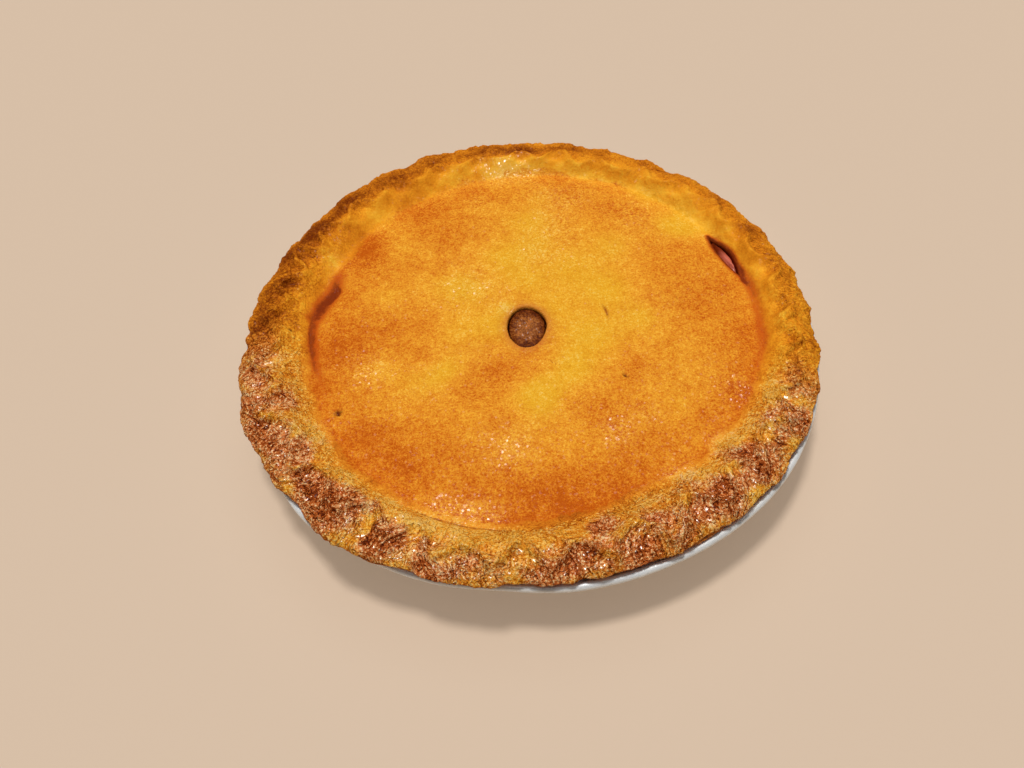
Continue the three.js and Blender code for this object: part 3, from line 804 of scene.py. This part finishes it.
class PIE_OT_top_crust(bpy.types.Operator):
    """Make the lid and crimped rim, with the vent, the slit and the crack"""
    bl_idname = "pie.top_crust"
    bl_label = "Top crust"

    def rings(self, s, shape, rim_under):
        """Goes outwards along the underside, round the edge, inwards over the top and down the vent."""
        rings = Rings()

        def under(radii, angle):
            return shape.lid(radii, angle) - s.lid_thickness

        def beside_vent(out):
            return lambda angle: shape.vent(angle) + out * MM

        rings.add(144, beside_vent(0.4), under)
        for steps, radius in ((144, 0.016), (288, 0.03), (FINE, 0.06)):
            rings.add(steps, radius, under)
        rings.add(FINE, 0.098, s.groove_height - 4 * MM)
        for radius in (s.shelf_radius + 0.5 * MM, 0.113):
            rings.add(FINEST, radius, rim_under)
        for turn in np.linspace(-0.5, 0.5, 8)[:-1] * math.pi:
            bulge = 1.0 * MM * math.cos(turn) - 0.7 * MM
            lift = (1 + math.sin(turn)) / 2
            rings.add(FINEST, lambda angle: shape.edge(angle) + bulge,
                      lambda radii, angle: blend(rim_under, shape.edge_height(angle), lift))
        rings.sweep(FINEST, lambda angle: shape.edge(angle) - 0.7 * MM,
                    lambda angle: shape.groove(angle) * 0.985, 41, shape.top)
        # Towards the vent the rings are shorter, so half as many points are enough, and half again.
        rings.sweep(FINE, lambda angle: shape.groove(angle) * 0.975, 0.045, 36, shape.top)
        rings.sweep(288, 0.0438, 0.0225, 19, shape.top)
        rings.sweep(144, 0.0215, beside_vent(2.4), 13, shape.top)
        wall = [(1.7, 0.1), (1.0, 0.15), (0.5, 0.0), (0.15, -0.4), (0, -1), (0, -2), (0.2, -3.3)]
        for out, lift in wall:
            rings.add(144, beside_vent(out),
                      lambda radii, angle: shape.lid(shape.vent(angle), angle) + lift * MM)
        rings.bridge(rings.last, rings.first)
        return rings

    def roughen(self, mesh, shape):
        """Gives the lid a faint orange peel and the rim its torn, flaky layers."""
        points, directions, radius, angle = survey(mesh)
        start = shape.groove(angle) + blend(8 * MM, 4 * MM, near_side(points))
        on_rim = smooth(radius, start, start + 6 * MM)
        above = points[:, 2] > 0.03
        torn = leaves_of(strands(points), 0.0030, 5) - 0.5
        pocked = leaves_of(points, 0.0042, 6) - 0.5
        flaked = leaves_of(points, 0.0020, 7) - 0.5
        raised = field(points, 0.0055, 3) * 0.7 + torn * 0.75 + pocked * 0.4 + flaked * 0.3
        orange_peel = field(points, 0.0028, 9, 3) * 0.12 + field(points, 0.009, 10) * 0.25
        store(mesh, raised=raised)
        push(mesh, points, directions, blend(orange_peel, raised, on_rim) * MM * above)

    def masks(self, mesh, shape, seen):
        """Stores where each look belongs, from the places the crust had before it was roughened."""
        radius, angle = polar(seen)
        x, y = seen[:, 0], seen[:, 1]
        groove = shape.groove(angle)
        near = near_side(seen)
        here, angle_here = shape.wander(radius, angle)
        broken = smooth(field(seen, 0.009, 13), -0.4, 0.5)
        crest = bell((here - shape.crest(angle_here)) / MM, 1.1) * broken * blend(0.2, 1, near)
        start = groove + blend(7 * MM, 0.5 * MM, near)
        flaked = smooth(here, start, start + 6 * MM)
        # The ridge's crest is paler: the crimp's pale line, partly painted highlight along the ridge.
        brown = patches(here, angle_here, RIM_PATCHES) - 0.35 * crest
        brown += 0.12 * smooth(shape.crimp(angle_here), -0.6, 0.6) * flaked
        brown += blend(0.22, 0.16, near) * smooth(here, 0.102, 0.109)
        tone = 0.5 + 1.2 * spots(x, y, LID_PATCHES) + 0.3 * smooth(radius, 0.06, 0.09)
        in_groove = smooth(here, groove - 4 * MM, groove) * smooth(here, groove + 6 * MM, groove)
        tone += blend(-0.25, 0.3, near) * in_groove
        tone -= 0.25 * smooth(here, groove + 1 * MM, groove + 8 * MM)
        from_vent = (radius - shape.vent(angle)) / MM
        holes = [(hole_x, hole_y, size, 1.9) for hole_x, hole_y, size, _ in PITS]
        # Painted shade along the first seven folds.
        folds = [(points, width * 0.8, 1) for points, width, _ in CREASES[:7]]
        store(
            mesh, brown=brown, tone=tone, strands=strands(seen), outer=smooth(here, 0.103, 0.11),
            flaked=flaked * blend(0.5, 1, smooth(y, 0.08, 0)), dusted=smooth(y + 0.15 * x, 0, -0.035),
            rim=smooth(here, groove - 1 * MM, groove + 3 * MM), lip=bell(np.maximum(from_vent, 0), 2.6),
            throat=1 - smooth(seen[:, 2], 0.0325, 0.0345) * (from_vent < 4),
            pricked=np.clip(spots(x, y, holes), 0, 1) ** 2, folded=np.clip(strokes(x, y, folds), 0, 1),
            shine=np.clip(spots(x, y, PAINTED_GLINTS_AND_GLOSS), 0, 1),
        )

    def cut_slit(self, piece):
        """Cuts the slit right through the lid and stores where juice stained the pastry."""
        sides = [slit_side(SLIT_BOW[0], part) for part in np.linspace(0, 1, 25)]
        sides += [slit_side(-SLIT_BOW[1], part) for part in np.linspace(1, 0, 25)[1:-1]]
        count = len(sides)
        walls = [(i, (i + 1) % count, count + (i + 1) % count, count + i) for i in range(count)]
        mesh = bpy.data.meshes.new("slit")
        mesh.from_pydata([(*side, height) for height in (0.02, 0.045) for side in sides],
                         [], [*walls, tuple(range(count))[::-1], tuple(range(count, 2 * count))])
        blade = link(bpy.data.objects.new("slit", mesh))
        cut = piece.modifiers.new("slit", "BOOLEAN")
        cut.object, cut.operation, cut.solver = blade, "DIFFERENCE", "MANIFOLD"
        whole = piece.evaluated_get(bpy.context.evaluated_depsgraph_get())
        made = bpy.data.meshes.new_from_object(whole)
        piece.modifiers.clear()
        piece.data = made
        made.shade_smooth()
        bpy.data.objects.remove(blade)
        x, y, height = vectors(made.vertices, "co").T
        soaked = bell(np.minimum(slit_depth(x, y), 0), 1.4 * MM) * 1.1
        store(made, stain=np.maximum(soaked, strokes(x, y, STAINS)))

    def execute(self, context):
        scene = context.scene
        shape = CrustShape(scene.pie_crust)
        rim_under = scene.pie_tin.flange_top + scene.pie_crust.base_thickness + 0.6 * MM
        piece = self.rings(scene.pie_crust, shape, rim_under).build("TopCrust")
        seen = vectors(piece.data.vertices, "co")
        self.roughen(piece.data, shape)
        self.masks(piece.data, shape, seen)
        self.cut_slit(piece)
        hand_over(piece, pastry_paint(scene.pie_bake), "top_crust")
        return {"FINISHED"}


class PIE_OT_foil_tin(bpy.types.Operator):
    """Make the foil tin with its rolled edge"""
    bl_idname = "pie.foil_tin"
    bl_label = "Foil tin"

    def section(self, t):
        """Points [radius, height]: out under the floor, up the wall, round the bead and back inside."""
        floor, wall, top = t.floor_radius, t.wall_top_radius, t.flange_top
        under = top - t.foil
        points = [(0, 0), (0.03, 0), (0.06, 0), (0.08, 0)]
        points += [(floor - 1.5 * MM, 0), (floor - 0.3 * MM, 0.2 * MM)]
        points += line((floor + 0.4 * MM, 1 * MM), (wall - 0.2 * MM, under - 1 * MM), 22)
        points += [(wall + 0.3 * MM, under - 0.25 * MM), (wall + 1 * MM, under), (wall + 3 * MM, under)]
        for turn in np.radians(np.linspace(-165, 165, 21)):
            height = top - 0.2 * MM + t.bead_size * math.sin(turn)
            points.append((t.bead_centre + t.bead_size * math.cos(turn), height))
        points += [(wall + 3 * MM, top), (wall + 0.6 * MM, top)]
        points += line((wall - 1 * MM, under - 0.6 * MM), (floor - 0.4 * MM, 1.5 * MM), 8)
        return points + [(floor - 1.8 * MM, t.foil), (0.07, t.foil), (0.04, t.foil), (0, t.foil)]

    def execute(self, context):
        t = context.scene.pie_tin
        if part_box("foil_tin")[1].z < t.flange_top:
            raise RuntimeError("the tin is lower than its flange")
        section = self.section(t)
        counts = [1, 72, 144, 288, *[FINE] * (len(section) - 7), 288, 144, 1]
        rings = Rings()
        for steps, (radius, height) in zip(counts, section):
            rings.add(steps, lambda angle: dented(radius, angle), height)
        piece = rings.build("FoilTin")
        points, directions, radius, angle = survey(piece.data)
        on_wall = smooth(points[:, 2], 2 * MM, 8 * MM) * (1 - smooth(radius, 0.109, 0.1115))
        on_bead = smooth(radius, 0.1135, 0.1168)
        pleats = field(swirl(points, 0, 0.15), 0.0032, 21) * 0.22 * MM
        dents = field(points, 0.02, 23) * 0.25 * MM
        crinkle = field(swirl(points, 0, 1.5), 0.0016, 25) * 0.07 * MM
        crinkle += field(points, 0.008, 27) * 0.1 * MM
        push(piece.data, points, directions, on_wall * (pleats + dents) + on_bead * crinkle)
        hand_over(piece, foil_paint(t.metal), "foil_tin")
        return {"FINISHED"}


def line(start, end, count):
    """Evenly spaced points of a section, [radius, height], from start to end."""
    return [blend(np.array(start), np.array(end), part) for part in np.linspace(0, 1, count)]


def dented(radius, angle):
    """The tin's bead and the outer part of its flange follow its dents."""
    return radius + swell(angle, TIN_DENTS) * smooth(radius, 0.111, 0.117)


def foil_paint(metal):
    paint = Paint("PressedFoil")
    where = paint.place()
    tint = paint.mix(paint.grain(where, 6, 2, 0.5), metal, [value * 0.86 for value in metal])
    wrinkle = paint.bump(paint.grain(where, 2.4, 3, 0.6, 1.0), 0.25, 0.6)
    return paint.finish(base_color=tint, roughness=0.2 + 0.18 * paint.grain(where, 0.9, 3, 0.6, 0.4),
                        metallic=0.12, normal=wrinkle)


def along_wall(tin, steps, height, inset):
    """A ring on the sloping face of the tin's wall, seen from its contents, inset by that many mm."""
    slope = (tin.wall_top_radius - tin.floor_radius) / (tin.flange_top - 1.2 * MM)
    return steps, tin.floor_radius - 1.6 * MM + slope * height - inset * MM, height


class PIE_OT_base_crust(bpy.types.Operator):
    """Make the lower crust that lines the tin"""
    bl_idname = "pie.base_crust"
    bl_label = "Base crust"

    def execute(self, context):
        t, s = context.scene.pie_tin, context.scene.pie_crust
        low = 0.9 * MM
        floor_top = low + s.base_thickness
        flange_low = t.flange_top + 0.3 * MM
        flange_high = flange_low + s.base_thickness
        over_bead = t.flange_top - 0.2 * MM + t.bead_size + 0.6 * MM

        def edge(angle):
            return s.base_edge + swell(angle, BASE_EDGE_SWELLS)

        def inside(angle):
            """Just inside the bead, which the crust's edge climbs where it reaches over it."""
            return dented(t.bead_centre - t.bead_size - 0.3 * MM, angle)

        def lifted(radii, angle):
            part = smooth(edge(angle), inside(angle), inside(angle) + 0.8 * MM)
            return blend(flange_low, over_bead, part)

        rings = Rings()
        for ring in (
            (1, 0, low), (72, 0.04, low), along_wall(t, 144, low, 3),
            along_wall(t, 288, low + 1.6 * MM, 1), along_wall(t, FINE, flange_low - 3 * MM, 1),
            (FINEST, t.wall_top_radius + 1 * MM, flange_low),
            (FINEST, lambda angle: inside(angle) - 1.6 * MM, flange_low),
            (FINEST, lambda angle: np.minimum(inside(angle), edge(angle) - 0.6 * MM), lifted),
        ):
            rings.add(*ring)
        for turn in np.radians(np.linspace(-70, 90, 9)):
            rings.add(
                FINEST, lambda angle: edge(angle) - 1.4 * MM + 1.4 * MM * math.cos(turn),
                lambda radii, angle: blend(lifted(radii, angle), flange_high, (1 + math.sin(turn)) / 2),
            )
        for ring in (
            (FINEST, 0.1135, flange_high), (FINEST, t.wall_top_radius - 1 * MM, flange_high),
            along_wall(t, FINE, flange_high - 2.4 * MM, 5.6), along_wall(t, 288, floor_top + 1.5 * MM, 5),
            along_wall(t, 144, floor_top, 7), (72, 0.04, floor_top), (1, 0, floor_top),
        ):
            rings.add(*ring)
        piece = rings.build("BaseCrust")
        points, directions, radius, angle = survey(piece.data)
        loose = smooth(radius, inside(angle) - 0.5 * MM, edge(angle) - 0.6 * MM)
        torn = field(swirl(points, 0.2, 1.4), 0.0022, 31, 3) * 0.3 * MM
        push(piece.data, points, directions, loose * torn)
        hand_over(piece, base_paint(context.scene.pie_bake), "base_crust")
        return {"FINISHED"}


def base_paint(bake):
    paint = Paint("LowerPastry")
    where = paint.place()
    tint = paint.mix(paint.grain(where, 3.5, 4, 0.6).step(0.42, 0.62), bake.caramel, bake.nut)
    crumb = paint.grain(where, 0.9, 3, 0.6)
    return paint.finish(base_color=tint, roughness=0.6, normal=paint.bump(crumb, 0.4))


class PIE_OT_filling(bpy.types.Operator):
    """Make the cooked apple under the lid, which shows in the vent and the slit"""
    bl_idname = "pie.filling"
    bl_label = "Filling"

    def execute(self, context):
        t, s = context.scene.pie_tin, context.scene.pie_crust
        shape = CrustShape(s)
        low = 4.7 * MM
        rim_radius, rim_low, rim_high = 0.101, 0.0235, 0.0256
        highest_beside_rim = rim_high + 0.8 * MM
        plug_low, plug_rise = 0.0317, 0.0022

        def under(radii, angle):
            return shape.lid(radii, angle) - s.lid_thickness - 0.3 * MM

        def plug(angle):
            return shape.vent(angle) - 0.6 * MM

        def bulge(radii, angle):
            """The fruit swells up into the slit, a little less towards its far end."""
            x, y = flat(radii, angle)
            inside = smooth(slit_depth(x, y), 0.7 * MM, 1.6 * MM)
            swollen = inside * blend(4.6, 5.0, smooth(y, 0.045, 0.036)) * MM
            return np.minimum(under(radii, angle), highest_beside_rim) + swollen

        rings = Rings()
        for ring in ((1, 0, low), (72, 0.04, low), along_wall(t, 144, low, 8),
                     along_wall(t, 288, low + 2 * MM, 5.8), (FINE, rim_radius, rim_low),
                     (FINE, rim_radius, rim_high)):
            rings.add(*ring)
        rings.sweep(FINE, rim_radius - 1.5 * MM, 0.085, 24, bulge)
        for steps, radius in ((288, 0.06), (144, 0.03), (144, 0.012), (144, plug)):
            rings.add(steps, radius, under)
        for turn in np.linspace(0, math.pi / 2, 24)[:-1]:
            height = plug_low + plug_rise * math.sin(turn) ** 0.6
            rings.add(144, lambda angle: plug(angle) * math.cos(turn) ** 0.6,
                      lambda radii, angle: height + flat(radii, angle)[1] * 0.2)
        rings.add(1, 0, plug_low + plug_rise)
        piece = rings.build("Filling")
        points, directions, radius, angle = survey(piece.data)
        shown = smooth(points[:, 2], 0.0295, 0.031) * (radius < 0.011)
        push(piece.data, points, directions, shown * field(points, 0.003, 41, 3) * 0.3 * MM)
        in_slit = smooth(slit_depth(points[:, 0], points[:, 1]), -1 * MM, 0.5 * MM)
        store(piece.data, sunk=smooth(radius, 3 * MM, 9 * MM), syrup=in_slit,
              jelly=in_slit * smooth(points[:, 1], 0.0435, 0.037))
        hand_over(piece, filling_paint(context.scene.pie_bake), "filling")
        return {"FINISHED"}


def filling_paint(bake):
    paint = Paint("CookedApple")
    where = paint.place()
    sunk, syrup, jelly = paint.masks("sunk syrup jelly")
    mottled = paint.grain(where, 2.5, 4, 0.6).around(1.3) + paint.grain(where, 0.8, 2, 0.6).around(1.5)
    # Painted shade: the apple darkens towards the vent's edge (0.5 * sunk), down to the shaded apple
    # colour.
    tint = paint.ramp(0.62 + mottled - 0.5 * sunk, bake, "burnt cinnamon filling blush")
    tint = paint.mix(syrup, tint, bake.syrup)
    tint = paint.mix(jelly, tint, bake.jelly)
    wet = paint.bump(paint.grain(where, 1.3, 2, 0.5), 0.5)
    return paint.finish(base_color=tint, roughness=0.5, normal=wet, specular_ior_level=0.05,
                        coat_weight=0.12 * sunk.step(0.7, 0) + 0.6 * jelly, coat_roughness=0.2,
                        coat_normal=paint.facets(where, where, 0, 0.8, 0.6))


class PIE_OT_stage(bpy.types.Operator):
    """Set up the pale floor, the soft lights and the camera"""
    bl_idname = "pie.stage"
    bl_label = "Stage"

    def execute(self, context):
        scene = context.scene
        s = scene.pie_stage
        mesh = bpy.data.meshes.new("Floor")
        half = 3.0
        mesh.from_pydata([(-half, -half, 0), (half, -half, 0), (half, half, 0), (-half, half, 0)],
                         [], [(0, 1, 2, 3)])
        floor = link(bpy.data.objects.new("Floor", mesh))
        paint = Paint("PaleFloor")
        lit = [value * (1 - s.glow) for value in s.floor]
        mesh.materials.append(paint.finish(base_color=lit, roughness=0.9, specular_ior_level=0.0,
                                           emission_color=s.floor, emission_strength=s.glow))

        for name, strength, spread, toward, gleam in (
            ("Key", s.key, 10, (-0.075, 0.045, 1), 1), ("Softbox", s.fill, 76, (0, 0.1, 1), 0.1),
            ("Back", s.back, 30, (0.05, 0.75, 0.75), 1),
        ):
            light = bpy.data.lights.new(name, "SUN")
            light.energy, light.angle, light.specular_factor = strength, math.radians(spread), gleam
            lamp = link(bpy.data.objects.new(name, light))
            lamp.rotation_euler = Vector(toward).to_track_quat("Z", "Y").to_euler()

        world = bpy.data.worlds.new("Studio")
        world.use_nodes = True
        background = world.node_tree.nodes["Background"].inputs
        background["Color"].default_value = (1, 1, 1, 1)
        background["Strength"].default_value = s.sky
        scene.world = world

        camera = bpy.data.cameras.new("Camera")
        camera.sensor_width, camera.lens = 36, s.lens
        view = link(bpy.data.objects.new("Camera", camera))
        vent = Vector((0, 0, 0.034))
        eye = vent + s.distance * Vector((0, -math.cos(s.elevation), math.sin(s.elevation)))
        aim = Vector((-0.0072, -0.0296, 0.034))
        turn = (aim - eye).to_track_quat("-Z", "Y").to_matrix().to_4x4()
        view.matrix_world = Matrix.Translation(eye) @ turn @ Matrix.Rotation(-s.roll, 4, "Z")
        scene.camera = view
        scene.view_settings.view_transform = "Standard"
        return {"FINISHED"}


class PIE_PT_panel(bpy.types.Panel):
    """Lists the pie's pieces and their settings"""
    bl_label = "Apple Pie"
    bl_space_type = "VIEW_3D"
    bl_region_type = "UI"
    bl_category = "Pie"

    def draw(self, context):
        for operator in OPERATORS:
            self.layout.operator(operator.bl_idname)
        for name in SETTINGS:
            group = getattr(context.scene, name)
            for key in group.bl_rna.properties.keys():
                if key not in ("rna_type", "name"):
                    self.layout.prop(group, key)


OPERATORS = (
    PIE_OT_foil_tin, PIE_OT_base_crust, PIE_OT_filling, PIE_OT_top_crust, PIE_OT_stage,
)
SETTINGS = {
    "pie_tin": TinSettings, "pie_crust": CrustSettings, "pie_bake": BakeSettings,
    "pie_stage": StageSettings,
}


def register():
    for group in (*SETTINGS.values(), *OPERATORS, PIE_PT_panel):
        bpy.utils.register_class(group)
    for name, group in SETTINGS.items():
        setattr(bpy.types.Scene, name, PointerProperty(type=group))


def unregister():
    for name in SETTINGS:
        delattr(bpy.types.Scene, name)
    for group in (PIE_PT_panel, *reversed(OPERATORS), *reversed(SETTINGS.values())):
        bpy.utils.unregister_class(group)


def main():
    register()
    bpy.ops.pie.foil_tin()
    bpy.ops.pie.base_crust()
    bpy.ops.pie.filling()
    bpy.ops.pie.top_crust()
    bpy.ops.pie.stage()


if __name__ == "__main__":
    main()
